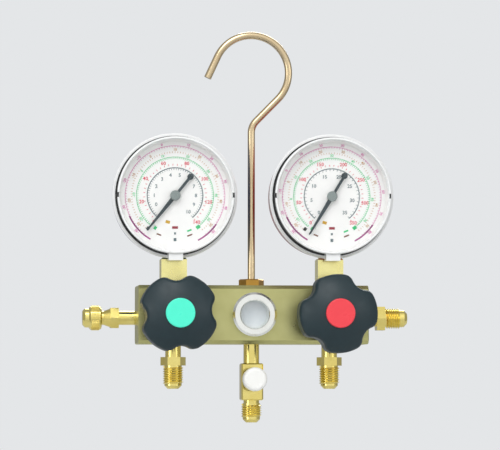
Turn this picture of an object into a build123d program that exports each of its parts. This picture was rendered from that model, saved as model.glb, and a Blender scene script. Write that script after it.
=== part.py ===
from build123d import *
from math import acos, asin, cos, degrees, pi, radians, sin, sqrt
import os

# Refrigerant manifold gauge set, hanging by its hook.  Millimetres.
# The origin is the hanging point, inside the crown of the hook.  +Z is up, +X runs to the
# high-pressure side and the dials face -Y.  Y = 0 is the plane of the gauge and hose ports.

os.makedirs("parts", exist_ok=True)

# ------------------------------------------------------------------ driving dimensions
# Fits between pieces
running_fit = 0.05            # radial, a shaft that turns or slides in its hole
seat_fit = 0.05               # radial, a piece that is screwed or pushed home
body_gap = 0.3                # between flat faces that move past each other
edge_break = 0.6              # on turned rims
corner_break = 0.8            # on wrench flats and squares

# Hook
wire_diameter = 4.0
loop_radius = 20.6            # to the centre of the wire
shank_height = 88.0           # block top to the corner where the shank turns outward
loop_rise = 29.4              # from that corner up to the centre of the loop
shank_bend_radius = 9.0
loop_end_angle = 155.0        # where the loop runs out into its straight tip
hook_tip_length = 13.0
wire_head_diameter = 6.0
wire_head_length = 1.2
bush_hex = 12.0
bush_collar_height = 3.7
bush_shank_diameter = 8.0
bush_shank_length = 5.5

# Block and its passages
block_length = 126.0
block_height = 32.0
block_depth = 30.0
block_chamfer = 2.0
block_end_chamfer = 0.5
port_spacing = 86.0           # low side to high side
passage_diameter = 5.0
gallery_diameter = 5.0
gallery_setback = 8.5         # behind the port plane
gallery_drop = 1.5            # under the centreline of the block
port_shank_diameter = 10.0
port_shank_length = 8.0
end_shank_diameter = 8.8
end_shank_length = 8.0
drill_allowance = 1.0         # a blind hole is this much deeper than what it holds

# Sight glass
sight_ring_diameter = 24.0
sight_ring_stand = 5.0
sight_shank_diameter = 20.0
sight_shank_length = 5.5
sight_lens_diameter = 16.0
sight_lens_thickness = 4.0
sight_seal_thickness = 1.0
sight_window_diameter = 13.6
sight_mouth_diameter = 15.4
sight_ring_bevel = 1.2
sight_mouth_bevel = 0.5
sight_lip = 1.0               # straight wall in front of the glass
sight_lens_bevel = 0.3
sight_chamber_diameter = 11.0

# Gauge: a 63 mm case with its connection at the bottom
gauge_height = 64.7           # gauge centre above the centre of the block
gauge_front = 20.0            # bezel face in front of the port plane
gauge_depth = 30.0
case_diameter = 66.0
case_depth = 20.0
case_wall = 1.0
case_back_radius = 4.0
bezel_overhang = 1.2          # of its flange, past the case
bezel_flange_thickness = 2.0
bezel_flange_edge = 0.8
bezel_barrel_step = 1.1       # from the side of the case in to the side of the barrel
bezel_barrel_wall = 0.85
bezel_skirt_length = 4.0      # inside the case
bezel_lip = 1.2
bezel_ledge = 0.5             # of the lip, in front of the window
bezel_bevel = 0.5
bezel_bead_length = 0.8
bezel_notch_width = 2.6
bezel_notch_depth = 1.6
bezel_tab_width = 7.8
bezel_tab_reach = 1.2         # past the flange
bezel_tab_setback = 1.4       # behind the face of the bezel
window_thickness = 2.2
dial_setback = 4.2            # dial face behind the window
dial_thickness = 0.5
dial_edge_gap = 1.2           # inside the edge of the window
dial_hole_diameter = 5.0
stop_pin_diameter = 1.2
stop_pin_radius = 19.0
stop_pin_stand = 1.0          # past the front of the pointer
stem_square = 14.0
stem_gap = 1.8                # between the square and the block
square_gap = 0.6              # between the square and the case
stem_shank_diameter = 9.7
stem_shank_length = 10.0
stem_bore_diameter = 3.0
socket_neck_diameter = 12.0
socket_width = 12.0
socket_front = 3.0            # front face of the socket, in front of the port plane
socket_back = 7.0
socket_top = 17.0             # under the gauge centre
socket_clearance = 0.4        # from its lower corners to the case

# Bourdon tube and movement
tube_radius = 21.5            # to the middle of the flattened tube
tube_width = 8.0
tube_thickness = 2.4
tube_wall = 0.5
tube_setback = 2.0            # middle of the tube behind the port plane
tube_arc = 288.0
tube_root_angle = -92.0       # counter-clockwise from +X, as seen from the front
tube_tip_arc = 9.0
tube_socket_arc = 30.0        # how much of the tube's circle the slot in the socket follows
tube_plug_thickness = 3.4
plate_thickness = 1.0
plate_width = 15.0
plate_top = 6.0               # above the gauge centre
plate_foot = 28.0
front_plate_foot = 24.5
plate_corner_radius = 2.5
plate_gap = 5.9               # between the back plate and the front plate
pillar_diameter = 3.0
pillar_inset = 2.0            # from the edge of a plate to the middle of a pillar
pillar_drop = 3.0
lower_pillar_rise = 6.0
gear_module = 0.4
pinion_teeth = 10
sector_teeth = 70             # on the full circle that the sector is cut from
cut_sector_teeth = 12
tooth_addendum = 0.8 * gear_module
tooth_dedendum = 1.25 * gear_module
tooth_sink = 0.375 * gear_module
sector_tooth_halves = (0.85, 0.5, 0.3)    # in modules, half the tooth at root, pitch circle, tip
pinion_tooth_halves = (0.6, 0.5, 0.2)
gear_thickness = 1.0
gear_setback = 3.2            # from the back plate
pinion_setback = 2.4
sector_hub_diameter = 4.6
pinion_length = 2.8
arbor_diameter = 1.6
pivot_diameter = 1.8
tail_length = 5.5
tail_mid_angle = -45.0
link_thickness = 0.6
link_width = 2.0
link_eye_diameter = 3.2
link_pin_diameter = 1.0
pointer_turn = 270.0
low_pointer_angle = 231.0     # counter-clockwise from +X at zero pressure
high_pointer_angle = 239.0
pointer_reach = 24.0
pointer_tail = 14.8
pointer_root_width = 2.4
pointer_tip_width = 0.9
pointer_tail_width = 1.5
pointer_tail_pad = 3.4
pointer_thickness = 0.6
pointer_hub_diameter = 5.6
pointer_hub_length = 2.2
pointer_hub_wall = 0.4
pointer_gap = 0.8             # between the dial and the hub
pointer_step = 0.6            # from the back of the hub to the blade
pointer_point = 0.8

# Hand valves
valve_pitch = 1.5
valve_turns = 2.25
bonnet_hex = 18.0
bonnet_hex_length = 5.0
bonnet_neck_diameter = 14.0
bonnet_neck_length = 4.0
bonnet_shank_diameter = 14.0
bonnet_shank_length = 5.0
stem_thread_diameter = 8.0
stem_shaft_diameter = 6.0
stem_neck_diameter = 4.0
stem_head_diameter = 6.4
stem_head_length = 1.6
packing_diameter = 10.0
packing_length = 2.3
gland_hex = 13.0
gland_head_length = 3.0
gland_skirt = 2.0
plunger_diameter = 9.6
plunger_bevel = 1.0
plunger_wall = 1.2            # in front of the head of the stem
chamber_diameter = 10.4
chamber_depth = 18.0
seat_hole_diameter = 4.0
knob_diameter = 42.6
knob_notch_diameter = 35.0
knob_scallop_diameter = 15.0
knob_lobes = 4
knob_height = 22.0
knob_rim_height = 14.0
knob_gap = 1.0                # behind the knob, to the gland nut
knob_hub_diameter = 15.0
knob_hollow_diameter = 29.0
knob_hollow_depth = 12.0
knob_corner_radius = 5.0
knob_front_radius = 3.0
knob_back_radius = 1.2
knob_web = 1.0                # between the stem and the recess for the cap
low_knob_turn = 4.0           # how far the notches stand from the axes
high_knob_turn = -36.0
cap_diameter = 15.8
cap_thickness = 2.2
cap_recess_depth = 1.6

# Quarter-inch flare ends: 7/16-20 UNF thread over a 45 degree nose
flare_thread_diameter = 11.11
flare_nose_diameter = 9.4
flare_relief = 0.8
flare_tip_diameter = 6.0
flare_bore_diameter = 4.6

# Hose ports, under the block
hose_neck_diameter = 8.6
hose_neck_length = 7.0
hose_hex = 12.0
hose_hex_length = 4.6
hose_thread_length = 10.2

# Centre port with its own small valve
center_neck_length = 10.4
center_body_width = 12.0
center_body_height = 20.2
center_lower_shank_diameter = 8.0
center_lower_shank_length = 4.0
center_valve_height = 11.4    # above the foot of the valve body
center_pitch = 1.0
center_turns = 2.0
center_bonnet_diameter = 8.0
center_bonnet_length = 8.0
center_bonnet_shank_diameter = 7.0
center_bonnet_shank_length = 1.5
center_stem_diameter = 5.0
center_shaft_diameter = 3.4
center_stem_neck_diameter = 2.4
center_head_diameter = 4.0
center_head_length = 1.0
center_plunger_diameter = 5.8
center_chamber_diameter = 6.4
center_knob_diameter = 13.0
center_knob_length = 8.0
center_knob_edge = 2.0
center_knob_wall = 2.0        # in front of the spindle
center_plunger_wall = 0.8
center_passage_diameter = 4.0
outlet_collar_length = 1.6
outlet_thread_length = 8.0

# Charging port on the low-side end, with a tyre-type core and a sealing cap
charge_neck_diameter = 7.6
charge_neck_length = 9.4
charge_hex = 11.0
charge_hex_length = 4.6
charge_cone_length = 4.5
charge_cone_step = 0.4
charge_cone_runout = 1.0
charge_thread_diameter = 7.7
charge_thread_length = 7.0
charge_bore_diameter = 3.2
core_diameter = 5.2
core_length = 6.5
core_setback = 0.6
core_pin_diameter = 1.2
core_head_diameter = 2.2
core_head_length = 0.8
charge_pitch = 0.794
charge_turns = 6.0
charge_cap_diameter = 13.0
charge_cap_skirt = 7.0
charge_cap_end_diameter = 10.6
charge_cap_end_length = 3.4
charge_cap_bevel = 0.8
charge_cap_shoulder = 1.0
charge_cap_crown = 1.4
charge_gasket_thickness = 1.0

# Spare port on the high-side end
spare_neck_diameter = 8.8
spare_neck_length = 7.1
spare_hex = 13.0
spare_hex_length = 4.6
spare_thread_length = 10.0

# ------------------------------------------------------------------ levels and axes
hang_height = shank_height + loop_rise + loop_radius - wire_diameter / 2
block_top = -hang_height
block_mid = block_top - block_height / 2
block_bottom = block_top - block_height
block_face = -block_depth / 2
gallery_z = block_mid - gallery_drop
gauge_mid = block_mid + gauge_height
bezel_diameter = case_diameter + 2 * bezel_overhang
bezel_barrel_diameter = case_diameter - 2 * bezel_barrel_step
window_diameter = bezel_barrel_diameter - 2 * (bezel_barrel_wall + seat_fit)
bezel_opening = window_diameter - 2 * bezel_ledge
bezel_tab_radius = bezel_diameter / 2 + bezel_tab_reach
dial_diameter = window_diameter - 2 * dial_edge_gap
valve_travel = valve_pitch * valve_turns
center_travel = center_pitch * center_turns
cap_travel = charge_pitch * charge_turns
side_x = {"low": -port_spacing / 2, "high": port_spacing / 2}

LEFT, RIGHT = Vector(-1, 0, 0), Vector(1, 0, 0)
FRONT, DOWN = Vector(0, -1, 0), Vector(0, 0, -1)


def facing(direction, x, y, z):
    """A plane whose local z runs along direction; on a front-facing plane local y is up."""
    across = RIGHT if abs(direction.X) < 0.5 else Vector(0, 1, 0)
    return Plane(origin=(x, y, z), x_dir=across, z_dir=direction)


def turning(direction, x, y, z):
    """The half-plane of a turned profile: local x is the radius, local y runs along direction."""
    radial = Vector(0, 0, 1) if abs(direction.Z) < 0.5 else RIGHT
    return Plane(origin=(x, y, z), x_dir=radial, z_dir=radial.cross(direction))


def turn(plane, *profile, mode=Mode.ADD):
    """Revolves a closed (radius, length) outline about the local y of a turning plane."""
    with BuildSketch(plane) as outline:
        with BuildLine():
            Polyline(*profile, close=True)
        make_face()
    revolve(outline.sketch, axis=Axis(plane.origin, plane.y_dir), mode=mode)


def finish(piece, name):
    """Labels a finished piece and writes it to its own file."""
    piece.part.label = name
    export_step(piece.part, f"parts/{name}.step")


# ------------------------------------------------------------------ manifold block
# A brass bar, cross-drilled.  On each side the gauge port and the hose port share one upright
# passage.  The valve seat opens from that passage into the gallery behind it, which runs from
# end to end and meets the chamber behind the sight glass.
sight_counterbore = sight_shank_length + body_gap
port_hole_depth = port_shank_length + drill_allowance
end_hole_depth = end_shank_length + drill_allowance
hook_hole_depth = bush_shank_length + body_gap + wire_head_length + body_gap

with BuildPart() as manifold_block:
    with BuildSketch(Plane.YZ.offset(-block_length / 2)):
        with Locations((0, block_mid)):
            Rectangle(block_depth, block_height)
        chamfer(vertices(), block_chamfer)
    extrude(amount=block_length)
    chamfer(faces().filter_by(Axis.X).edges(), block_end_chamfer)

    for x in side_x.values():
        with BuildSketch(Plane.XY.offset(block_top)):
            with Locations((x, 0)):
                Circle(stem_shank_diameter / 2 + seat_fit)
        extrude(amount=-(stem_shank_length + drill_allowance - stem_gap), mode=Mode.SUBTRACT)
        with BuildSketch(Plane.XY.offset(block_bottom)):
            with Locations((x, 0)):
                Circle(passage_diameter / 2)
        extrude(amount=block_height, mode=Mode.SUBTRACT)
        with BuildSketch(facing(FRONT, x, block_face + chamber_depth, block_mid)):
            Circle(chamber_diameter / 2)
        extrude(amount=chamber_depth, mode=Mode.SUBTRACT)
        with BuildSketch(facing(FRONT, x, block_face + bonnet_shank_length, block_mid)):
            Circle(bonnet_shank_diameter / 2 + seat_fit)
        extrude(amount=bonnet_shank_length, mode=Mode.SUBTRACT)
        with BuildSketch(facing(FRONT, x, gallery_setback, block_mid)):
            Circle(seat_hole_diameter / 2)
        extrude(amount=gallery_setback, mode=Mode.SUBTRACT)

    with BuildSketch(Plane.XY.offset(block_bottom)):
        with Locations(*[(x, 0) for x in (0, *side_x.values())]):
            Circle(port_shank_diameter / 2 + seat_fit)
    extrude(amount=port_hole_depth, mode=Mode.SUBTRACT)
    with BuildSketch(Plane.XY.offset(block_bottom)):
        Circle(passage_diameter / 2)
    extrude(amount=block_height / 2, mode=Mode.SUBTRACT)

    with BuildSketch(Plane.YZ.offset(-block_length / 2)):
        with Locations((gallery_setback, gallery_z)):
            Circle(gallery_diameter / 2)
    extrude(amount=block_length, mode=Mode.SUBTRACT)
    for direction in (LEFT, RIGHT):
        end_x = direction.X * (block_length / 2 - end_hole_depth)
        with BuildSketch(facing(direction, end_x, gallery_setback, gallery_z)):
            Circle(end_shank_diameter / 2 + seat_fit)
        extrude(amount=end_hole_depth, mode=Mode.SUBTRACT)

    with BuildSketch(facing(FRONT, 0, gallery_setback, block_mid)):
        Circle(sight_chamber_diameter / 2)
    extrude(amount=gallery_setback + block_depth / 2, mode=Mode.SUBTRACT)
    with BuildSketch(facing(FRONT, 0, block_face + sight_counterbore, block_mid)):
        Circle(sight_shank_diameter / 2 + seat_fit)
    extrude(amount=sight_counterbore, mode=Mode.SUBTRACT)

    with BuildSketch(Plane.XY.offset(block_top)):
        Circle(bush_shank_diameter / 2 + seat_fit)
    extrude(amount=-hook_hole_depth, mode=Mode.SUBTRACT)
finish(manifold_block, "manifold_block")

# ------------------------------------------------------------------ sight glass
# A turned ring screws into the block and holds the glass down on a flat seal.
sight_floor = block_face + sight_counterbore
lens_back = sight_floor - sight_seal_thickness
lens_face = lens_back - sight_lens_thickness
ring_plane = turning(FRONT, 0, block_face, block_mid)
lens_face_height = block_face - lens_face

with BuildPart() as sight_glass_ring:
    turn(
        ring_plane,
        (sight_lens_diameter / 2 + seat_fit, -sight_shank_length),
        (sight_shank_diameter / 2, -sight_shank_length),
        (sight_shank_diameter / 2, 0),
        (sight_ring_diameter / 2, 0),
        (sight_ring_diameter / 2, sight_ring_stand - sight_ring_bevel),
        (sight_ring_diameter / 2 - sight_ring_bevel, sight_ring_stand),
        (sight_mouth_diameter / 2 + sight_mouth_bevel, sight_ring_stand),
        (sight_mouth_diameter / 2, sight_ring_stand - sight_mouth_bevel),
        (sight_window_diameter / 2, lens_face_height + sight_lip),
        (sight_window_diameter / 2, lens_face_height),
        (sight_lens_diameter / 2 + seat_fit, lens_face_height),
    )
finish(sight_glass_ring, "sight_glass_ring")

with BuildPart() as sight_glass_lens:
    with BuildSketch(facing(FRONT, 0, lens_back, block_mid)):
        Circle(sight_lens_diameter / 2)
    extrude(amount=sight_lens_thickness)
    chamfer(edges().group_by(Axis.Y)[0], sight_lens_bevel)
finish(sight_glass_lens, "sight_glass_lens")

with BuildPart() as sight_glass_seal:
    with BuildSketch(facing(FRONT, 0, sight_floor, block_mid)):
        Circle(sight_lens_diameter / 2)
        Circle(sight_chamber_diameter / 2 + body_gap, mode=Mode.SUBTRACT)
    extrude(amount=sight_seal_thickness)
finish(sight_glass_seal, "sight_glass_seal")

# ------------------------------------------------------------------ hook
# Brass-plated wire.  The shank rises between the gauges, turns out at a corner and runs
# tangent into the loop.  An upset head under the bush keeps it in the block, free to swivel.
loop_z = wire_diameter / 2 - loop_radius
corner_z = block_top + shank_height
tangent_angle = degrees(acos(loop_radius / loop_rise)) - 90
wire_head_top = block_top - bush_shank_length - body_gap
tangent_x = loop_radius * cos(radians(tangent_angle))
tangent_z = loop_z + loop_radius * sin(radians(tangent_angle))

with BuildPart() as hook_wire:
    with BuildLine(Plane.XZ) as wire_path:
        FilletPolyline(
            (0, wire_head_top - wire_head_length),
            (0, corner_z),
            (tangent_x, tangent_z),
            radius=shank_bend_radius,
        )
        loop = CenterArc((0, loop_z), loop_radius, tangent_angle, loop_end_angle - tangent_angle)
        Line(loop @ 1, (loop @ 1) + (loop % 1) * hook_tip_length)
    with BuildSketch(Plane.XY.offset(wire_head_top - wire_head_length)):
        Circle(wire_diameter / 2)
    sweep(path=wire_path.wires()[0])
    with BuildSketch(Plane.XY.offset(wire_head_top - wire_head_length)):
        Circle(wire_head_diameter / 2)
    extrude(amount=wire_head_length)
finish(hook_wire, "hook_wire")

with BuildPart() as hook_bush:
    with BuildSketch(Plane.XY.offset(block_top)):
        RegularPolygon(bush_hex / 2, 6, major_radius=False)
    extrude(amount=bush_collar_height)
    chamfer(edges().group_by(Axis.Z)[-1], edge_break)
    with BuildSketch(Plane.XY.offset(block_top)):
        Circle(bush_shank_diameter / 2)
    extrude(amount=-bush_shank_length)
    with BuildSketch(Plane.XY.offset(block_top - bush_shank_length)):
        Circle(wire_diameter / 2 + running_fit)
    extrude(amount=bush_shank_length + bush_collar_height, mode=Mode.SUBTRACT)
finish(hook_bush, "hook_bush")


# ------------------------------------------------------------------ screwed fittings
def hexagon(direction, across_flats, x, y, z, length):
    """A wrench hexagon that starts at a point and runs along direction."""
    with BuildSketch(facing(direction, x, y, z)) as outline:
        RegularPolygon(across_flats / 2, 6, major_radius=False)
    extrude(outline.sketch, amount=length)


def flare_end(plane, root, thread_length):
    """The male flare end of a fitting: thread, relief and nose, from a root length outward."""
    nose = root + thread_length + flare_relief
    slope = (flare_nose_diameter - flare_tip_diameter) / 2
    turn(
        plane,
        (0, root),
        (flare_thread_diameter / 2, root),
        (flare_thread_diameter / 2, root + thread_length),
        (flare_nose_diameter / 2, root + thread_length),
        (flare_nose_diameter / 2, nose),
        (flare_tip_diameter / 2, nose + slope),
        (0, nose + slope),
    )


def drill(plane, diameter, start, end):
    """A round hole along a turned piece."""
    turn(plane, (0, start), (diameter / 2, start), (diameter / 2, end), (0, end), mode=Mode.SUBTRACT)


def rod(plane, diameter, start, end):
    """A round length of a turned piece."""
    turn(plane, (0, start), (diameter / 2, start), (diameter / 2, end), (0, end))


flare_nose_length = flare_relief + (flare_nose_diameter - flare_tip_diameter) / 2

hose_length = hose_neck_length + hose_hex_length + hose_thread_length + flare_nose_length
for side, x in side_x.items():
    hose_plane = turning(DOWN, x, 0, block_bottom)
    with BuildPart() as hose_fitting:
        rod(hose_plane, port_shank_diameter, -port_shank_length, 0)
        rod(hose_plane, hose_neck_diameter, 0, hose_neck_length)
        hexagon(DOWN, hose_hex, x, 0, block_bottom - hose_neck_length, hose_hex_length)
        flare_end(hose_plane, hose_neck_length + hose_hex_length, hose_thread_length)
        drill(hose_plane, flare_bore_diameter, -port_shank_length, hose_length)
    finish(hose_fitting, f"{side}_hose_fitting")

spare_x = block_length / 2
spare_plane = turning(RIGHT, spare_x, gallery_setback, gallery_z)
spare_length = spare_neck_length + spare_hex_length + spare_thread_length + flare_nose_length
with BuildPart() as spare_port:
    rod(spare_plane, end_shank_diameter, -end_shank_length, 0)
    rod(spare_plane, spare_neck_diameter, 0, spare_neck_length)
    hexagon(RIGHT, spare_hex, spare_x + spare_neck_length, gallery_setback, gallery_z, spare_hex_length)
    flare_end(spare_plane, spare_neck_length + spare_hex_length, spare_thread_length)
    drill(spare_plane, flare_bore_diameter, -end_shank_length, spare_length)
finish(spare_port, "spare_port")

# ------------------------------------------------------------------ centre port and its valve
# An adapter carries a square valve body; a small plunger crosses its passage, pushed by a
# spindle with a round knob.  The hose screws on the flare outlet under it.
center_body_top = block_bottom - center_neck_length
center_body_foot = center_body_top - center_body_height
center_valve_z = center_body_foot + center_valve_height
center_face = -center_body_width / 2
center_top_plane = turning(DOWN, 0, 0, block_bottom)
center_foot_plane = turning(DOWN, 0, 0, center_body_foot)
center_chamber_end = center_plunger_diameter / 2 + running_fit
center_front_plane = turning(FRONT, 0, center_face, center_valve_z)

with BuildPart() as center_adapter:
    rod(center_top_plane, port_shank_diameter, -port_shank_length, 0)
    rod(center_top_plane, hose_neck_diameter, 0, center_neck_length)
    rod(
        center_top_plane,
        center_lower_shank_diameter,
        center_neck_length,
        center_neck_length + center_lower_shank_length,
    )
    drill(
        center_top_plane,
        center_passage_diameter,
        -port_shank_length,
        center_neck_length + center_lower_shank_length,
    )
finish(center_adapter, "center_adapter")

center_plunger_front = center_bonnet_shank_length + center_travel + body_gap
center_plunger_length = center_body_width / 2 - center_plunger_front + center_chamber_end
with BuildPart() as center_valve_body:
    with BuildSketch(Plane.XY.offset(center_body_foot)):
        Rectangle(center_body_width, center_body_width)
        chamfer(vertices(), corner_break)
    extrude(amount=center_body_height)
    chamfer(edges().group_by(Axis.Z)[-1], edge_break)
    chamfer(edges().group_by(Axis.Z)[0], edge_break)
    drill(center_foot_plane, center_passage_diameter, -center_body_height, 0)
    drill(
        center_foot_plane,
        center_lower_shank_diameter + 2 * seat_fit,
        -center_body_height,
        -center_body_height + center_lower_shank_length + body_gap,
    )
    drill(
        center_foot_plane,
        center_lower_shank_diameter + 2 * seat_fit,
        -center_lower_shank_length - body_gap,
        0,
    )
    drill(
        center_front_plane,
        center_chamber_diameter,
        -center_plunger_front - center_plunger_length - running_fit,
        0,
    )
    drill(
        center_front_plane,
        center_bonnet_shank_diameter + 2 * seat_fit,
        -center_bonnet_shank_length,
        0,
    )
finish(center_valve_body, "center_valve_body")

with BuildPart() as center_valve_bonnet:
    rod(center_front_plane, center_bonnet_shank_diameter, -center_bonnet_shank_length, 0)
    rod(center_front_plane, center_bonnet_diameter, 0, center_bonnet_length)
    drill(
        center_front_plane,
        center_stem_diameter + 2 * running_fit,
        -center_bonnet_shank_length,
        center_bonnet_length,
    )
    chamfer(edges().group_by(Axis.Y)[0].group_by(SortBy.RADIUS)[-1], edge_break)
finish(center_valve_bonnet, "center_valve_bonnet")

center_cavity_front = center_plunger_front + center_plunger_wall
center_cavity_length = center_head_length + 2 * running_fit
with BuildPart() as center_valve_plunger:
    rod(
        center_front_plane,
        center_plunger_diameter,
        -center_plunger_front - center_plunger_length,
        -center_plunger_front,
    )
    drill(
        center_front_plane,
        center_stem_neck_diameter + 2 * running_fit,
        -center_cavity_front,
        -center_plunger_front,
    )
    drill(
        center_front_plane,
        center_head_diameter + 2 * running_fit,
        -center_cavity_front - center_cavity_length,
        -center_cavity_front,
    )
finish(center_valve_plunger, "center_valve_plunger")

center_knob_back = center_bonnet_length + knob_gap
center_knob_front = center_knob_back + center_knob_length
center_shaft_end = center_knob_front - center_knob_wall
center_head_top = center_cavity_front + running_fit
center_thread_front = center_bonnet_length - center_travel - running_fit
with BuildPart() as center_valve_spindle:
    turn(
        center_front_plane,
        (0, -center_head_top - center_head_length),
        (center_head_diameter / 2, -center_head_top - center_head_length),
        (center_head_diameter / 2, -center_head_top),
        (center_stem_neck_diameter / 2, -center_head_top),
        (center_stem_neck_diameter / 2, -center_bonnet_shank_length),
        (center_stem_diameter / 2, -center_bonnet_shank_length),
        (center_stem_diameter / 2, center_thread_front),
        (center_shaft_diameter / 2, center_thread_front),
        (center_shaft_diameter / 2, center_shaft_end),
        (0, center_shaft_end),
    )
finish(center_valve_spindle, "center_valve_spindle")

with BuildPart() as center_valve_knob:
    rod(center_front_plane, center_knob_diameter, center_knob_back, center_knob_front)
    fillet(edges().group_by(Axis.Y)[0], center_knob_edge)
    fillet(edges().group_by(Axis.Y)[-1], edge_break)
    drill(
        center_front_plane,
        center_shaft_diameter + 2 * seat_fit,
        center_knob_back,
        center_shaft_end,
    )
finish(center_valve_knob, "center_valve_knob")

outlet_length = outlet_collar_length + outlet_thread_length + flare_nose_length
with BuildPart() as center_outlet:
    rod(center_foot_plane, center_lower_shank_diameter, -center_lower_shank_length, 0)
    rod(center_foot_plane, hose_neck_diameter, 0, outlet_collar_length)
    flare_end(center_foot_plane, outlet_collar_length, outlet_thread_length)
    drill(center_foot_plane, center_passage_diameter, -center_lower_shank_length, outlet_length)
finish(center_outlet, "center_outlet")

# ------------------------------------------------------------------ charging port
# A turned stem with a spring-loaded core inside, closed by a screwed cap with a gasket.
charge_plane = turning(LEFT, -block_length / 2, gallery_setback, gallery_z)
charge_hex_start = charge_neck_length
charge_cone_start = charge_hex_start + charge_hex_length
charge_thread_start = charge_cone_start + charge_cone_length
charge_end = charge_thread_start + charge_thread_length
core_start = charge_end - core_setback - core_length

with BuildPart() as charging_port:
    rod(charge_plane, end_shank_diameter, -end_shank_length, 0)
    rod(charge_plane, charge_neck_diameter, 0, charge_neck_length)
    hexagon(
        LEFT,
        charge_hex,
        -block_length / 2 - charge_hex_start,
        gallery_setback,
        gallery_z,
        charge_hex_length,
    )
    turn(
        charge_plane,
        (0, charge_cone_start),
        (charge_hex / 2 - charge_cone_step, charge_cone_start),
        (charge_thread_diameter / 2, charge_thread_start - charge_cone_runout),
        (charge_thread_diameter / 2, charge_end),
        (0, charge_end),
    )
    drill(charge_plane, charge_bore_diameter, -end_shank_length, charge_end)
    drill(charge_plane, core_diameter + 2 * seat_fit, core_start, charge_end)
finish(charging_port, "charging_port")

with BuildPart() as charging_port_core:
    rod(charge_plane, core_diameter, core_start, charge_end - core_setback)
    drill(
        charge_plane,
        core_pin_diameter + 2 * running_fit,
        core_start,
        charge_end - core_setback,
    )
finish(charging_port_core, "charging_port_core")

core_pin_end = charge_end - core_setback / 2
core_seat = core_start - running_fit
with BuildPart() as charging_port_core_pin:
    rod(charge_plane, core_pin_diameter, core_seat, core_pin_end)
    rod(charge_plane, core_head_diameter, core_seat - core_head_length, core_seat)
finish(charging_port_core_pin, "charging_port_core_pin")

cap_start = charge_thread_start + body_gap
cap_floor = charge_end + charge_gasket_thickness + 2 * running_fit
cap_skirt_end = cap_start + charge_cap_skirt
cap_end = cap_skirt_end + charge_cap_end_length
with BuildPart() as charging_port_cap:
    turn(
        charge_plane,
        (0, cap_start),
        (charge_cap_diameter / 2 - charge_cap_bevel, cap_start),
        (charge_cap_diameter / 2, cap_start + charge_cap_bevel),
        (charge_cap_diameter / 2, cap_skirt_end - charge_cap_shoulder),
        (charge_cap_end_diameter / 2, cap_skirt_end),
        (charge_cap_end_diameter / 2, cap_end - charge_cap_crown),
        (charge_cap_end_diameter / 2 - charge_cap_crown, cap_end),
        (0, cap_end),
    )
    drill(charge_plane, charge_thread_diameter + 2 * running_fit, cap_start, cap_floor)
finish(charging_port_cap, "charging_port_cap")

with BuildPart() as charging_port_gasket:
    rod(
        charge_plane,
        charge_thread_diameter,
        charge_end + running_fit,
        charge_end + running_fit + charge_gasket_thickness,
    )
finish(charging_port_gasket, "charging_port_gasket")

# ------------------------------------------------------------------ gauges
# Heights along a gauge are counted forward from the back of its case, which lies gauge_back
# behind the port plane.
gauge_back = gauge_depth - gauge_front
window_back = gauge_depth - bezel_lip - window_thickness
flange_front = case_depth + bezel_flange_thickness
dial_face = window_back - dial_setback
dial_back = dial_face - dial_thickness
socket_face = gauge_back + socket_front
back_plate_face = socket_face + plate_thickness
front_plate_back = back_plate_face + plate_gap
front_plate_face = front_plate_back + plate_thickness
tube_mid = gauge_back - tube_setback
gear_back = back_plate_face + gear_setback
link_back = gear_back - body_gap - link_thickness
tip_face = link_back - body_gap
pinion_back = back_plate_face + pinion_setback

pinion_radius = gear_module * pinion_teeth / 2
sector_radius = gear_module * sector_teeth / 2
gear_centres = pinion_radius + sector_radius
gear_ratio = sector_teeth / pinion_teeth
sector_swing = pointer_turn / gear_ratio
tooth_pitch = pi * gear_module
sector_rest = -sector_swing / 2
tooth_step = 360 / sector_teeth
first_tooth = 90 + sector_rest - tooth_step * (cut_sector_teeth - 1) / 2
pinion_start = -90 + (90 - first_tooth) * gear_ratio + 180 / pinion_teeth
sector_reach = tooth_step * cut_sector_teeth / 2
tail_rest = tail_mid_angle - sector_swing / 2
socket_corner_radius = case_diameter / 2 - case_wall - socket_clearance
socket_foot = sqrt(socket_corner_radius**2 - (socket_width / 2) ** 2)
square_top = case_diameter / 2 + square_gap
square_foot = gauge_height - block_height / 2 - stem_gap
tube_tip_angle = tube_root_angle - tube_arc
tip_mid_angle = tube_tip_angle - tube_tip_arc / 2
arbor_back = socket_face + 2 * running_fit
hub_back = dial_face + pointer_gap
blade_back = hub_back + pointer_step
arbor_front = hub_back + pointer_hub_length - pointer_hub_wall
stop_pin_length = blade_back + pointer_thickness + stop_pin_stand - dial_face


def tooth_outline(pitch_radius, halves):
    """Corners of one gear tooth along local +X, sunk a little into its root circle."""
    root = pitch_radius - tooth_dedendum - tooth_sink
    radii = (root, pitch_radius, pitch_radius + tooth_addendum)
    upper = [(r, half * gear_module) for r, half in zip(radii, halves)]
    return [(r, -half) for r, half in upper] + upper[::-1]


def radial_plane(x, angle):
    """The half-plane of a gauge at an angle: local x is the radius, local y runs forward."""
    outward = Vector(cos(radians(angle)), 0, sin(radians(angle)))
    origin = (x, gauge_back, gauge_mid)
    return Plane(origin=origin, x_dir=outward, z_dir=outward.cross(FRONT))


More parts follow.
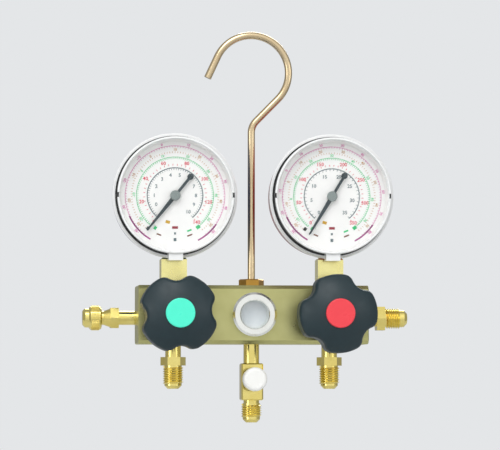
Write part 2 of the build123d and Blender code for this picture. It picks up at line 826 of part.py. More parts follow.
for side, x in side_x.items():
    pointer_angle = {"low": low_pointer_angle, "high": high_pointer_angle}[side]
    gauge_plane = turning(FRONT, x, gauge_back, gauge_mid)
    gauge_axis = Axis((x, 0, gauge_mid), (0, -1, 0))

    def level(height, across=0.0, up=0.0):
        """A front-facing plane on the gauge axis, at a height above the back of the case."""
        return facing(FRONT, x + across, gauge_back - height, gauge_mid + up)

    # Case: a deep-drawn steel cup with a hole for the neck of the socket
    with BuildPart() as gauge_case:
        with BuildSketch(gauge_plane):
            with BuildLine():
                Polyline(
                    (0, 0),
                    (case_diameter / 2, 0),
                    (case_diameter / 2, case_depth),
                    (case_diameter / 2 - case_wall, case_depth),
                    (case_diameter / 2 - case_wall, case_wall),
                    (0, case_wall),
                    close=True,
                )
            make_face()
            outer = vertices().sort_by_distance((case_diameter / 2, 0))[0]
            inner = vertices().sort_by_distance((case_diameter / 2 - case_wall, case_wall))[0]
            fillet(outer, case_back_radius)
            fillet(inner, case_back_radius - case_wall)
        revolve(axis=gauge_axis)
        with BuildSketch(Plane.XY.offset(gauge_mid - square_top)):
            with Locations((x, 0)):
                Circle(socket_neck_diameter / 2 + seat_fit)
        extrude(amount=square_top - socket_foot, mode=Mode.SUBTRACT)
    finish(gauge_case, f"{side}_gauge_case")

    # Bezel: its skirt is pushed into the mouth of the case up to the flange, and its barrel
    # stands in front with the window held between lip and bead.  Two notches take the key
    # that turns it, and a tab marks the bottom.
    barrel_radius = bezel_barrel_diameter / 2
    seat_radius = window_diameter / 2 + seat_fit
    skirt_radius = case_diameter / 2 - case_wall - seat_fit
    with BuildPart() as gauge_bezel:
        turn(
            gauge_plane,
            (bezel_opening / 2, gauge_depth - bezel_lip),
            (bezel_opening / 2 + bezel_bevel, gauge_depth),
            (barrel_radius - bezel_bevel, gauge_depth),
            (barrel_radius, gauge_depth - bezel_bevel),
            (barrel_radius, flange_front),
            (bezel_diameter / 2 - bezel_flange_edge, flange_front),
            (bezel_diameter / 2, flange_front - bezel_flange_edge),
            (bezel_diameter / 2, case_depth),
            (skirt_radius, case_depth),
            (skirt_radius, case_depth - bezel_skirt_length),
            (seat_radius, case_depth - bezel_skirt_length),
            (seat_radius, window_back - bezel_bead_length - running_fit),
            (bezel_opening / 2, window_back - bezel_bead_length / 2 - running_fit),
            (bezel_opening / 2, window_back - running_fit),
            (seat_radius, window_back - running_fit),
            (seat_radius, gauge_depth - bezel_lip),
        )
        tab_mid = (bezel_tab_radius + seat_radius) / 2
        with BuildSketch(level(case_depth)):
            with Locations((0, -tab_mid)):
                Rectangle(bezel_tab_width, bezel_tab_radius - seat_radius)
        extrude(amount=gauge_depth - bezel_tab_setback - case_depth)
        with BuildSketch(level(gauge_depth)):
            with PolarLocations(barrel_radius, 2):
                Rectangle(2 * (barrel_radius - bezel_opening / 2), bezel_notch_width)
        extrude(amount=-bezel_notch_depth, mode=Mode.SUBTRACT)
        with BuildSketch(level(case_depth)):
            Circle(seat_radius)
        extrude(amount=window_back - running_fit - bezel_bead_length - case_depth, mode=Mode.SUBTRACT)
    finish(gauge_bezel, f"{side}_gauge_bezel")

    with BuildPart() as gauge_window:
        with BuildSketch(level(window_back)):
            Circle(window_diameter / 2)
        extrude(amount=window_thickness)
    finish(gauge_window, f"{side}_gauge_window")

    # Dial: a thin plate on two posts of the movement, with the pin that the pointer rests on
    with BuildPart() as gauge_dial:
        with BuildSketch(level(dial_back)):
            Circle(dial_diameter / 2)
            Circle(dial_hole_diameter / 2, mode=Mode.SUBTRACT)
        extrude(amount=dial_thickness)
        share = (stop_pin_radius - pointer_hub_diameter / 2) / pointer_reach
        blade_width = pointer_root_width + (pointer_tip_width - pointer_root_width) * share
        side_step = (blade_width + stop_pin_diameter) / 2 + body_gap
        pin_angle = pointer_angle + degrees(asin(side_step / stop_pin_radius))
        with BuildSketch(level(dial_face)):
            with PolarLocations(stop_pin_radius, 1, start_angle=pin_angle):
                Circle(stop_pin_diameter / 2)
        extrude(amount=stop_pin_length)
    finish(gauge_dial, f"{side}_gauge_dial")

    # Socket: one brass forging with the square for the wrench, the threaded shank, and the
    # head inside the case that holds the tube and the movement
    with BuildPart() as gauge_socket:
        with BuildSketch(Plane.XY.offset(gauge_mid - square_foot)):
            with Locations((x, 0)):
                Rectangle(stem_square, stem_square)
        extrude(amount=square_foot - square_top)
        chamfer(edges().group_by(Axis.Z)[-1], corner_break)
        chamfer(edges().group_by(Axis.Z)[0], corner_break)
        with BuildSketch(Plane.XY.offset(gauge_mid - square_foot)):
            with Locations((x, 0)):
                Circle(stem_shank_diameter / 2)
        extrude(amount=-stem_shank_length)
        with BuildSketch(Plane.XY.offset(gauge_mid - square_top)):
            with Locations((x, 0)):
                Circle(socket_neck_diameter / 2)
        extrude(amount=square_top - socket_foot)
        with BuildSketch(Plane.XY.offset(gauge_mid - socket_foot)):
            with Locations((x, (socket_back - socket_front) / 2)):
                Rectangle(socket_width, socket_back + socket_front)
        extrude(amount=socket_foot - socket_top)
        with BuildSketch(Plane.XY.offset(gauge_mid - square_foot - stem_shank_length)):
            with Locations((x, 0)):
                Circle(stem_bore_diameter / 2)
        extrude(amount=square_foot + stem_shank_length - tube_radius, mode=Mode.SUBTRACT)
        with BuildSketch(radial_plane(x, tube_root_angle)):
            with Locations((tube_radius, tube_mid)):
                SlotOverall(tube_width + 2 * seat_fit, tube_thickness + 2 * seat_fit, rotation=90)
        revolve(axis=gauge_axis, revolution_arc=-tube_socket_arc, mode=Mode.SUBTRACT)
    finish(gauge_socket, f"{side}_gauge_socket")

    # Bourdon tube: a flattened tube bent round the case, closed by a plug at its free end
    with BuildPart() as bourdon_tube:
        with BuildSketch(radial_plane(x, tube_root_angle)):
            with Locations((tube_radius, tube_mid)):
                SlotOverall(tube_width, tube_thickness, rotation=90)
                SlotOverall(
                    tube_width - 2 * tube_wall,
                    tube_thickness - 2 * tube_wall,
                    rotation=90,
                    mode=Mode.SUBTRACT,
                )
        revolve(axis=gauge_axis, revolution_arc=-tube_arc)
        with BuildSketch(radial_plane(x, tube_tip_angle)):
            with Locations((tube_radius, (tube_mid - tube_width / 2 + tip_face) / 2)):
                Rectangle(tube_plug_thickness, tip_face - tube_mid + tube_width / 2)
        revolve(axis=gauge_axis, revolution_arc=-tube_tip_arc)
    finish(bourdon_tube, f"{side}_bourdon_tube")

    # Movement frame: two plates riveted on three pillars, screwed to the face of the socket
    with BuildPart() as movement_frame:
        pillar_x = plate_width / 2 - pillar_inset
        pillars = [
            (-pillar_x, plate_top - pillar_drop),
            (pillar_x, plate_top - pillar_drop),
            (-pillar_x, lower_pillar_rise - plate_foot),
        ]
        for start, foot in ((socket_face, -plate_foot), (front_plate_back, -front_plate_foot)):
            with BuildSketch(level(start)):
                with Locations((0, (plate_top + foot) / 2)):
                    RectangleRounded(plate_width, plate_top - foot, plate_corner_radius)
                with Locations((0, 0)):
                    Circle(arbor_diameter / 2 + running_fit, mode=Mode.SUBTRACT)
                with Locations((0, -gear_centres)):
                    Circle(pivot_diameter / 2 + running_fit, mode=Mode.SUBTRACT)
            extrude(amount=plate_thickness)
        with BuildSketch(level(back_plate_face)):
            with Locations(*pillars):
                Circle(pillar_diameter / 2)
        extrude(amount=plate_gap)
        with BuildSketch(level(front_plate_face)):
            with Locations(*pillars[:2]):
                Circle(pillar_diameter / 2)
        extrude(amount=dial_back - front_plate_face)
    finish(movement_frame, f"{side}_movement_frame")

    # Sector gear: cut from a full wheel, with its arbor, and a tail that the link pulls
    sector_plane = level(gear_back, up=-gear_centres)
    with BuildPart() as sector_gear:
        with BuildSketch(sector_plane):
            with BuildLine():
                root = sector_radius - tooth_dedendum
                rim = CenterArc(
                    (0, 0), root, 90 + sector_rest - sector_reach, 2 * sector_reach
                )
                Line((0, 0), rim @ 0)
                Line((0, 0), rim @ 1)
            make_face()
            Circle(sector_hub_diameter / 2)
            with Locations(Rotation(0, 0, tail_rest)):
                with Locations((tail_length / 2, 0)):
                    Rectangle(tail_length, link_width)
            with PolarLocations(tail_length, 1, start_angle=tail_rest):
                Circle(link_eye_diameter / 2)
            for index in range(cut_sector_teeth):
                with Locations(Rotation(0, 0, first_tooth + index * tooth_step)):
                    Polygon(*tooth_outline(sector_radius, sector_tooth_halves), align=None)
        extrude(amount=gear_thickness)
        with BuildSketch(level(arbor_back, up=-gear_centres)):
            Circle(pivot_diameter / 2)
        extrude(amount=front_plate_face - arbor_back)
        with BuildSketch(level(tip_face + body_gap, up=-gear_centres)):
            with PolarLocations(tail_length, 1, start_angle=tail_rest):
                Circle(link_pin_diameter / 2)
        extrude(amount=gear_back - tip_face)
    finish(sector_gear, f"{side}_sector_gear")

    # Link: from the tail of the sector to the plug of the tube
    tail_x = tail_length * cos(radians(tail_rest))
    tail_z = -gear_centres + tail_length * sin(radians(tail_rest))
    tip_x = tube_radius * cos(radians(tip_mid_angle))
    tip_z = tube_radius * sin(radians(tip_mid_angle))
    link_length = sqrt((tip_x - tail_x) ** 2 + (tip_z - tail_z) ** 2)
    link_angle = degrees(asin((tip_z - tail_z) / link_length))
    with BuildPart() as movement_link:
        with BuildSketch(level(link_back, across=tail_x, up=tail_z)):
            with Locations(Rotation(0, 0, link_angle)):
                with Locations((link_length / 2, 0)):
                    Rectangle(link_length, link_width)
                with Locations((0, 0), (link_length, 0)):
                    Circle(link_eye_diameter / 2)
                    Circle(link_pin_diameter / 2 + running_fit, mode=Mode.SUBTRACT)
        extrude(amount=link_thickness)
    finish(movement_link, f"{side}_movement_link")

    # Pinion: cut on the arbor that carries the pointer
    with BuildPart() as pinion:
        with BuildSketch(level(pinion_back)):
            root = pinion_radius - tooth_dedendum
            Circle(root)
            with PolarLocations(0, pinion_teeth, start_angle=pinion_start):
                Polygon(*tooth_outline(pinion_radius, pinion_tooth_halves), align=None)
        extrude(amount=pinion_length)
        with BuildSketch(level(arbor_back)):
            Circle(arbor_diameter / 2)
        extrude(amount=arbor_front - arbor_back)
    finish(pinion, f"{side}_pinion")

    # Pointer: a flat tapered blade with a counterweight pad, on a turned hub
    with BuildPart() as pointer:
        with BuildSketch(level(hub_back)):
            Circle(pointer_hub_diameter / 2)
        extrude(amount=pointer_hub_length)
        chamfer(edges().group_by(Axis.Y)[0], pointer_hub_wall)
        with BuildSketch(level(blade_back)):
            with Locations(Rotation(0, 0, pointer_angle)):
                Polygon(
                    (0, -pointer_root_width / 2),
                    (pointer_reach, -pointer_tip_width / 2),
                    (pointer_reach + pointer_point, 0),
                    (pointer_reach, pointer_tip_width / 2),
                    (0, pointer_root_width / 2),
                    align=None,
                )
                with Locations((-pointer_tail / 2, 0)):
                    Rectangle(pointer_tail, pointer_tail_width)
                with Locations((-pointer_tail + pointer_tail_pad / 2, 0)):
                    Circle(pointer_tail_pad / 2)
        extrude(amount=pointer_thickness)
        with BuildSketch(level(hub_back)):
            Circle(arbor_diameter / 2 + seat_fit)
        extrude(amount=arbor_front - hub_back + seat_fit, mode=Mode.SUBTRACT)
    finish(pointer, f"{side}_pointer")

# ------------------------------------------------------------------ hand valves
# Lengths are counted forward from the face of the block.  The bonnet screws into the block,
# the gland nut presses the packing on the stem, and the stem turns in a plunger that slides
# straight on to its seat.  Closed at rest.
gland_start = bonnet_hex_length + bonnet_neck_length
gland_end = gland_start + gland_head_length
packing_start = gland_start - gland_skirt - packing_length
knob_back = gland_end + knob_gap
knob_front = knob_back + knob_height
plunger_front = bonnet_shank_length + valve_travel + body_gap
plunger_end = chamber_depth - 2 * running_fit
cavity_front = plunger_front + plunger_wall
cavity_length = stem_head_length + 2 * running_fit
head_front = cavity_front + running_fit
thread_front = packing_start - valve_travel - 2 * running_fit
recess_floor = knob_front - cap_recess_depth
stem_end = recess_floor - knob_web
crown_rise = knob_height - knob_rim_height

for side, x in side_x.items():
    knob_turn = {"low": low_knob_turn, "high": high_knob_turn}[side]
    valve_plane = turning(FRONT, x, block_face, block_mid)

    with BuildPart() as valve_bonnet:
        hexagon(FRONT, bonnet_hex, x, block_face, block_mid, bonnet_hex_length)
        chamfer(edges().group_by(Axis.Y)[0], corner_break)
        rod(valve_plane, bonnet_shank_diameter, -bonnet_shank_length, 0)
        rod(valve_plane, bonnet_neck_diameter, 0, gland_start)
        drill(
            valve_plane,
            stem_thread_diameter + 2 * running_fit,
            -bonnet_shank_length,
            packing_start,
        )
        drill(
            valve_plane,
            packing_diameter + 2 * seat_fit,
            packing_start,
            gland_start,
        )
    finish(valve_bonnet, f"{side}_valve_bonnet")

    with BuildPart() as stem_packing:
        rod(valve_plane, packing_diameter, packing_start, packing_start + packing_length)
        drill(
            valve_plane,
            stem_shaft_diameter + 2 * running_fit,
            packing_start,
            packing_start + packing_length,
        )
    finish(stem_packing, f"{side}_stem_packing")

    with BuildPart() as gland_nut:
        hexagon(FRONT, gland_hex, x, block_face - gland_start, block_mid, gland_head_length)
        chamfer(edges().group_by(Axis.Y)[0], edge_break)
        rod(valve_plane, packing_diameter, packing_start + packing_length, gland_start)
        drill(
            valve_plane,
            stem_shaft_diameter + 2 * running_fit,
            packing_start + packing_length,
            gland_end,
        )
    finish(gland_nut, f"{side}_gland_nut")

    with BuildPart() as valve_stem:
        turn(
            valve_plane,
            (0, -head_front - stem_head_length),
            (stem_head_diameter / 2, -head_front - stem_head_length),
            (stem_head_diameter / 2, -head_front),
            (stem_neck_diameter / 2, -head_front),
            (stem_neck_diameter / 2, -bonnet_shank_length),
            (stem_thread_diameter / 2, -bonnet_shank_length),
            (stem_thread_diameter / 2, thread_front),
            (stem_shaft_diameter / 2, thread_front),
            (stem_shaft_diameter / 2, stem_end),
            (0, stem_end),
        )
    finish(valve_stem, f"{side}_valve_stem")

    with BuildPart() as valve_plunger:
        rod(valve_plane, plunger_diameter, -plunger_end, -plunger_front)
        chamfer(edges().group_by(Axis.Y)[-1], plunger_bevel)
        drill(
            valve_plane,
            stem_neck_diameter + 2 * running_fit,
            -cavity_front,
            -plunger_front,
        )
        drill(
            valve_plane,
            stem_head_diameter + 2 * running_fit,
            -cavity_front - cavity_length,
            -cavity_front,
        )
    finish(valve_plunger, f"{side}_valve_plunger")

    # Knob: moulded, four broad lobes with scalloped finger notches under a domed crown,
    # hollow behind, with a hub for the stem and a recess for the coloured cap
    with BuildPart() as knob:
        scallop_centre = (knob_notch_diameter + knob_scallop_diameter) / 2
        with BuildSketch(facing(FRONT, x, block_face - knob_back, block_mid)):
            Circle(knob_diameter / 2)
            with PolarLocations(scallop_centre, knob_lobes, start_angle=knob_turn):
                Circle(knob_scallop_diameter / 2, mode=Mode.SUBTRACT)
            fillet(vertices(), knob_corner_radius)
        extrude(amount=knob_height)
        knob_plane = turning(FRONT, x, block_face - knob_back, block_mid)
        crown_radius = (knob_diameter**2 / 4 + crown_rise**2) / (2 * crown_rise)
        with BuildSketch(knob_plane):
            with BuildLine():
                crown_arc = RadiusArc(
                    (0, knob_height), (knob_diameter / 2, knob_rim_height), crown_radius
                )
                Polyline(
                    crown_arc @ 1,
                    (knob_diameter, knob_rim_height),
                    (knob_diameter, -knob_gap),
                    (0, -knob_gap),
                    crown_arc @ 0,
                )
            make_face()
        revolve(axis=Axis(knob_plane.origin, knob_plane.y_dir), mode=Mode.INTERSECT)
        front_rim = faces().sort_by(Axis.Y)[0].outer_wire().edges()
        fillet(front_rim, knob_front_radius)
        back_rim = faces().sort_by(Axis.Y)[-1].outer_wire().edges()
        fillet(back_rim, knob_back_radius)
        with BuildSketch(facing(FRONT, x, block_face - knob_back, block_mid)):
            Circle(knob_hollow_diameter / 2)
            Circle(knob_hub_diameter / 2, mode=Mode.SUBTRACT)
        extrude(amount=knob_hollow_depth, mode=Mode.SUBTRACT)
        drill(valve_plane, stem_shaft_diameter + 2 * seat_fit, knob_back, stem_end)
        drill(valve_plane, cap_diameter + 2 * seat_fit, recess_floor, knob_front)
    finish(knob, f"{side}_knob")

    with BuildPart() as knob_cap:
        rod(valve_plane, cap_diameter, recess_floor, recess_floor + cap_thickness)
        fillet(edges().group_by(Axis.Y)[0], edge_break)
    finish(knob_cap, f"{side}_knob_cap")
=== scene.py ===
import math

import bpy
from mathutils import Euler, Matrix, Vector


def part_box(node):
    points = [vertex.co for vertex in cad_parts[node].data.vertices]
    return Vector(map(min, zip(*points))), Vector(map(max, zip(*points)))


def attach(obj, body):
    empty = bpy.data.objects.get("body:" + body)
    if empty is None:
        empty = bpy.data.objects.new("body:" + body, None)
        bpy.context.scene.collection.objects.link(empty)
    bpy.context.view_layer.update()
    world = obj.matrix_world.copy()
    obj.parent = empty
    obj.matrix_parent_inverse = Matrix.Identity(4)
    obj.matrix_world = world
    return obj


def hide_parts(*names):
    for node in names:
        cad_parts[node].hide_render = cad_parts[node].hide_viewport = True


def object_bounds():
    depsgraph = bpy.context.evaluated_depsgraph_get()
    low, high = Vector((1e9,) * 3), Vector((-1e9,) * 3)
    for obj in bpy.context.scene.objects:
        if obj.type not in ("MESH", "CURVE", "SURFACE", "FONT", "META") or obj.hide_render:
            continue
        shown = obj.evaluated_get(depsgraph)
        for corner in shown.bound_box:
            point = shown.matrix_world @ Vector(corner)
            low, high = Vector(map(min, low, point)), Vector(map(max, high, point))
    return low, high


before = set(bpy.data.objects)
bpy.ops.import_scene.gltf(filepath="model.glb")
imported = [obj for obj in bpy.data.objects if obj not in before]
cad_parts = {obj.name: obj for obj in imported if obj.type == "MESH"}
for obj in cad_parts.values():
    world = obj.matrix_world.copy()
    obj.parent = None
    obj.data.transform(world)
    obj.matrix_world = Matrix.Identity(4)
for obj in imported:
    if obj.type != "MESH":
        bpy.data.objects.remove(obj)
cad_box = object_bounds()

# ---------------------------------------------------------------- manifold block
# The block is a length of drawn brass bar, sawn off, milled and cross-drilled.  It is left as
# it came from the cutter and has dulled to khaki, with fine lines along its length.


def linear(code):
    """An sRGB hex colour as the linear values that a shader takes."""
    parts = [int(code[i:i + 2], 16) / 255 for i in (1, 3, 5)]
    return [c / 12.92 if c <= 0.04045 else ((c + 0.055) / 1.055) ** 2.4 for c in parts] + [1]


def new_material(name):
    """An empty node material."""
    material = bpy.data.materials.new(name)
    material.use_nodes = True
    material.node_tree.nodes.clear()
    return material


def add_node(material, kind, settings={}, links={}):
    """Adds a node.  Settings are socket values or properties, links name what feeds a socket."""
    node = material.node_tree.nodes.new(kind)
    for key, value in settings.items():
        if isinstance(key, str) and key not in node.inputs:
            setattr(node, key, value)
        else:
            node.inputs[key].default_value = value
    for key, source in links.items():
        material.node_tree.links.new(source, node.inputs[key])
    return node


def machined_metal(name, light, dull, rough, marks_per_mm, bump_mm, patch_mm=9.0):
    """Bare or plated metal: patches of light and dull colour, and tool marks across each axis."""
    material = new_material(name)
    place = add_node(material, "ShaderNodeTexCoord").outputs["Object"]
    scale = [1000 * marks for marks in marks_per_mm]
    lined = add_node(material, "ShaderNodeMapping", {"Scale": scale}, {"Vector": place})
    marks = add_node(
        material, "ShaderNodeTexNoise", {"Scale": 1.0, "Detail": 2.0}, {"Vector": lined.outputs[0]}
    )
    patches = add_node(
        material,
        "ShaderNodeTexNoise",
        {"Scale": 1000 / patch_mm, "Detail": 4.0},
        {"Vector": place},
    )
    colour = add_node(
        material,
        "ShaderNodeMix",
        {"data_type": "RGBA", 6: linear(light), 7: linear(dull)},
        {0: patches.outputs[0]},
    )
    roughness = add_node(
        material,
        "ShaderNodeMapRange",
        {"From Min": 0.3, "From Max": 0.7, "To Min": 0.8 * rough, "To Max": 1.25 * rough},
        {"Value": patches.outputs[0]},
    )
    bump = add_node(
        material,
        "ShaderNodeBump",
        {"Strength": 1.0, "Distance": bump_mm / 1000},
        {"Height": marks.outputs[0]},
    )
    shader = add_node(
        material,
        "ShaderNodeBsdfPrincipled",
        {"Metallic": 1.0},
        {
            "Base Color": colour.outputs[2],
            "Roughness": roughness.outputs[0],
            "Normal": bump.outputs[0],
        },
    )
    add_node(material, "ShaderNodeOutputMaterial", {}, {"Surface": shader.outputs[0]})
    return material


def dress(material, *nodes):
    """Gives CAD nodes their material."""
    for node in nodes:
        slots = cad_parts[node].data.materials
        slots.clear()
        slots.append(material)


# Milled brass bar, dulled: soft uneven reflections, stretched by the cutter's lines.  The lines
# are 0.2 mm apart, about twice as coarse as real ones, so that they show.
milled_brass = machined_metal(
    "milled_brass_bar", "#CDCB91", "#B3B073", 0.34, (0.05, 5.0, 5.0), 0.003, patch_mm=14.0
)
dress(milled_brass, "manifold_block")

# ---------------------------------------------------------------- turned brass fittings
# Hose fittings, end ports and the centre outlet are turned from hexagon bar in free-cutting
# brass, bright and yellow, with fine rings from the tool.  Their flare ends carry a rolled
# screw thread, whose ridges are modelled here on the plain blank.  The tool's rings here and on
# the other turned metals are 0.25 to 0.33 mm apart, coarser than real ones, so that they show.
MM = 0.001
thread_major = 11.11
thread_pitch = 1.27
thread_height = 0.61 * thread_pitch
thread_crest = thread_pitch / 8
ridge_overlap = 0.1 * thread_height
thread_root = thread_major / 2 - thread_height - ridge_overlap
thread_lead_in = 0.1
thread_steps = 40
surface_tolerance = 0.02 * MM
merge_distance = 0.0005 * MM
thread_crease = math.radians(32)
nose_length = 2.5
hose_thread, outlet_thread, spare_thread = 10.2, 8.0, 10.0


def turned_brass(name, axis):
    """Free-cutting brass, bright from the tool: sharp yellow reflections, broken into rings."""
    marks = [0.15, 0.15, 0.15]
    marks[axis] = 4.0
    return machined_metal(name, "#FCEE9C", "#E0C864", 0.14, marks, 0.004)


brass_across, brass_forward, brass_upright = (
    turned_brass(f"turned_brass_{way}", axis)
    for axis, way in enumerate(("across", "forward", "upright"))
)


def work_copy(node, name):
    """A copy of a CAD node to be reshaped, with its loose triangles merged."""
    bpy.ops.object.select_all(action="DESELECT")
    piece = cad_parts[node].copy()
    piece.data = piece.data.copy()
    piece.name = piece.data.name = name
    piece.parent = None
    bpy.context.collection.objects.link(piece)
    piece.select_set(True)
    bpy.context.view_layer.objects.active = piece
    bpy.ops.object.mode_set(mode="EDIT")
    bpy.ops.mesh.select_all(action="SELECT")
    bpy.ops.mesh.remove_doubles(threshold=merge_distance)
    bpy.ops.mesh.customdata_custom_splitnormals_clear()
    bpy.ops.mesh.select_all(action="DESELECT")
    bpy.ops.object.mode_set(mode="OBJECT")
    return piece


def helix(name, origin, turn_by, turns):
    """The ridge of a thread: a small trapezium drawn round and along local z."""
    bpy.ops.object.select_all(action="DESELECT")
    bpy.ops.mesh.primitive_plane_add()
    ridge = bpy.context.object
    ridge.name = name
    outline = (
        (thread_root, thread_lead_in),
        (thread_root, thread_lead_in + thread_pitch),
        (thread_major / 2, thread_lead_in + (thread_pitch - thread_crest) / 2),
        (thread_major / 2, thread_lead_in + (thread_pitch + thread_crest) / 2),
    )
    for vertex, (radius, height) in zip(ridge.data.vertices, outline):
        vertex.co = (radius * MM, 0, height * MM)
    bpy.ops.object.mode_set(mode="EDIT")
    bpy.ops.mesh.select_all(action="SELECT")
    bpy.ops.mesh.delete(type="ONLY_FACE")
    bpy.ops.object.mode_set(mode="OBJECT")
    screw = ridge.modifiers.new("screw", "SCREW")
    screw.screw_offset = thread_pitch * MM
    screw.iterations = turns
    screw.steps = screw.render_steps = thread_steps
    bpy.ops.object.modifier_apply(modifier="screw")
    bpy.ops.object.mode_set(mode="EDIT")
    bpy.ops.mesh.select_all(action="SELECT")
    bpy.ops.mesh.fill_holes(sides=4)
    bpy.ops.mesh.select_all(action="SELECT")
    bpy.ops.mesh.normals_make_consistent(inside=False)
    bpy.ops.object.mode_set(mode="OBJECT")
    ridge.rotation_euler = turn_by
    ridge.location = origin
    bpy.ops.object.transform_apply(location=True, rotation=True, scale=True)
    return ridge


def cut_thread(node, direction, root_mm, length_mm, material):
    """Replaces a fitting by one with real thread ridges, drawn from root_mm along its axis."""
    low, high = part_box(node)
    middle = (low + high) / 2
    axis = max(range(3), key=lambda i: abs(direction[i]))
    tip = high[axis] if direction[axis] > 0 else low[axis]
    origin = middle.copy()
    origin[axis] = tip - direction[axis] * root_mm * MM
    piece = work_copy(node, f"{node}_threaded")
    shrink = [1 - 2 * thread_height / thread_major] * 3
    shrink[axis] = 1.0
    for vertex in piece.data.vertices:
        radial = vertex.co - origin
        along = radial[axis] * direction[axis]
        radial[axis] = 0
        on_thread = abs(radial.length - thread_major / 2 * MM) < surface_tolerance
        vertex.select = on_thread and along > -surface_tolerance / 2
    bpy.ops.object.mode_set(mode="EDIT")
    bpy.ops.transform.resize(value=shrink, center_override=origin)
    bpy.ops.object.mode_set(mode="OBJECT")
    turn_by = direction.to_track_quat("Z", "Y").to_euler()
    turns = int(length_mm / thread_pitch - 1)
    ridge = helix(f"{node}_ridge", origin, turn_by, turns)
    bpy.ops.object.select_all(action="DESELECT")
    ridge.select_set(True)
    piece.select_set(True)
    bpy.context.view_layer.objects.active = piece
    bpy.ops.object.join()
    bpy.ops.object.shade_smooth_by_angle(angle=thread_crease)
    piece.data.materials.clear()
    piece.data.materials.append(material)
    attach(piece, "manifold")
    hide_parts(node)
    return piece


down, right = Vector((0, 0, -1)), Vector((1, 0, 0))
for port, direction, length, material in (
    ("low_hose_fitting", down, hose_thread, brass_upright),
    ("high_hose_fitting", down, hose_thread, brass_upright),
    ("center_outlet", down, outlet_thread, brass_upright),
    ("spare_port", right, spare_thread, brass_across),
):
    cut_thread(port, direction, nose_length + length, length, material)

# ---------------------------------------------------------------- centre port and its valve
# Adapter and square body are machined from brass bar; the bonnet is blackened steel, the
# plunger acetal and the spindle plain steel.  The round knob is white nylon, pressed on.
mottles_per_mm = 0.18


def plastic(name, colour, shade, rough, grain_mm, bump_mm, coat=0.0):
    """Moulded plastic, rubber or paint: a faint mottle and the grain of its mould.

    The grain is a few times coarser than a real mould's, so that it shows.
    """
    material = new_material(name)
    place = add_node(material, "ShaderNodeTexCoord").outputs["Object"]
    mottle = add_node(
        material,
        "ShaderNodeTexNoise",
        {"Scale": 1000 * mottles_per_mm, "Detail": 5.0},
        {"Vector": place},
    )
    grain = add_node(
        material,
        "ShaderNodeTexNoise",
        {"Scale": 1000 / grain_mm, "Detail": 3.0},
        {"Vector": place},
    )
    mixed = add_node(
        material,
        "ShaderNodeMix",
        {"data_type": "RGBA", 6: linear(colour), 7: linear(shade)},
        {0: mottle.outputs[0]},
    )
    roughness = add_node(
        material,
        "ShaderNodeMapRange",
        {"From Min": 0.3, "From Max": 0.7, "To Min": 0.85 * rough, "To Max": 1.15 * rough},
        {"Value": mottle.outputs[0]},
    )
    bump = add_node(
        material,
        "ShaderNodeBump",
        {"Strength": 1.0, "Distance": bump_mm / 1000},
        {"Height": grain.outputs[0]},
    )
    shader = add_node(
        material,
        "ShaderNodeBsdfPrincipled",
        {"IOR": 1.5, "Coat Weight": coat, "Coat Roughness": 0.12},
        {
            "Base Color": mixed.outputs[2],
            "Roughness": roughness.outputs[0],
            "Normal": bump.outputs[0],
        },
    )
    add_node(material, "ShaderNodeOutputMaterial", {}, {"Surface": shader.outputs[0]})
    return material


# Blackened steel is a dark, soft sheen; bare turned steel a grey one with rings.  Turned acetal
# is matt and a little yellow, moulded nylon whiter and glossy.
blackened_steel = machined_metal(
    "blackened_steel", "#3A3B3C", "#262728", 0.35, (0.2, 4, 0.2), 0.004
)
bare_steel = machined_metal("turned_steel", "#C9CBCC", "#AEB1B3", 0.25, (0.2, 4, 0.2), 0.004)
white_acetal = plastic("turned_acetal", "#E9E8E2", "#DEDCD4", 0.4, 0.8, 0.003)
white_nylon = plastic("moulded_white_nylon", "#F9F9F6", "#F2F2EE", 0.3, 0.6, 0.004, coat=0.3)
dress(brass_upright, "center_adapter", "center_valve_body")
dress(blackened_steel, "center_valve_bonnet")
dress(white_acetal, "center_valve_plunger")
dress(bare_steel, "center_valve_spindle")
dress(white_nylon, "center_valve_knob")

# ---------------------------------------------------------------- charging port and its cap
# A turned brass stem with a valve core inside, closed by a brass cap.  The cap's skirt is
# knurled for the fingers: fine straight ribs rolled into its rim.
rib_count = 48
rib_height = 0.3 * MM
rib_width = 0.42 * MM
rib_length = 4.2 * MM
rib_margin = 1.4 * MM
rib_edge = 0.12 * MM

# Moulded nitrile rubber: near black, with no gloss.
rubber = plastic("moulded_rubber", "#1B1B1C", "#121213", 0.6, 0.5, 0.006)
dress(brass_across, "charging_port", "charging_port_core", "charging_port_cap")
dress(bare_steel, "charging_port_core_pin")
dress(rubber, "charging_port_gasket")

cap_low, cap_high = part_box("charging_port_cap")
cap_radius = (cap_high.z - cap_low.z) / 2
cap_middle = (cap_low + cap_high) / 2
rib_x = cap_high.x - rib_margin - rib_length / 2
bpy.ops.object.select_all(action="DESELECT")
bpy.ops.mesh.primitive_cube_add(
    size=1,
    location=(rib_x, cap_middle.y, cap_middle.z + cap_radius),
    scale=(rib_length, rib_width, 2 * rib_height),
)
knurl = bpy.context.object
knurl.name = "charging_cap_knurl"
bpy.ops.object.transform_apply(location=True, rotation=True, scale=True)
bpy.ops.object.mode_set(mode="EDIT")
bpy.ops.mesh.select_all(action="SELECT")
bpy.ops.mesh.bevel(offset=rib_edge, segments=1)
bpy.ops.mesh.select_all(action="SELECT")
bpy.ops.mesh.spin(
    steps=rib_count - 1,
    dupli=True,
    angle=2 * math.pi * (rib_count - 1) / rib_count,
    center=cap_middle,
    axis=(1, 0, 0),
)
bpy.ops.object.mode_set(mode="OBJECT")
knurl.data.materials.append(brass_across)
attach(knurl, "charging_cap")
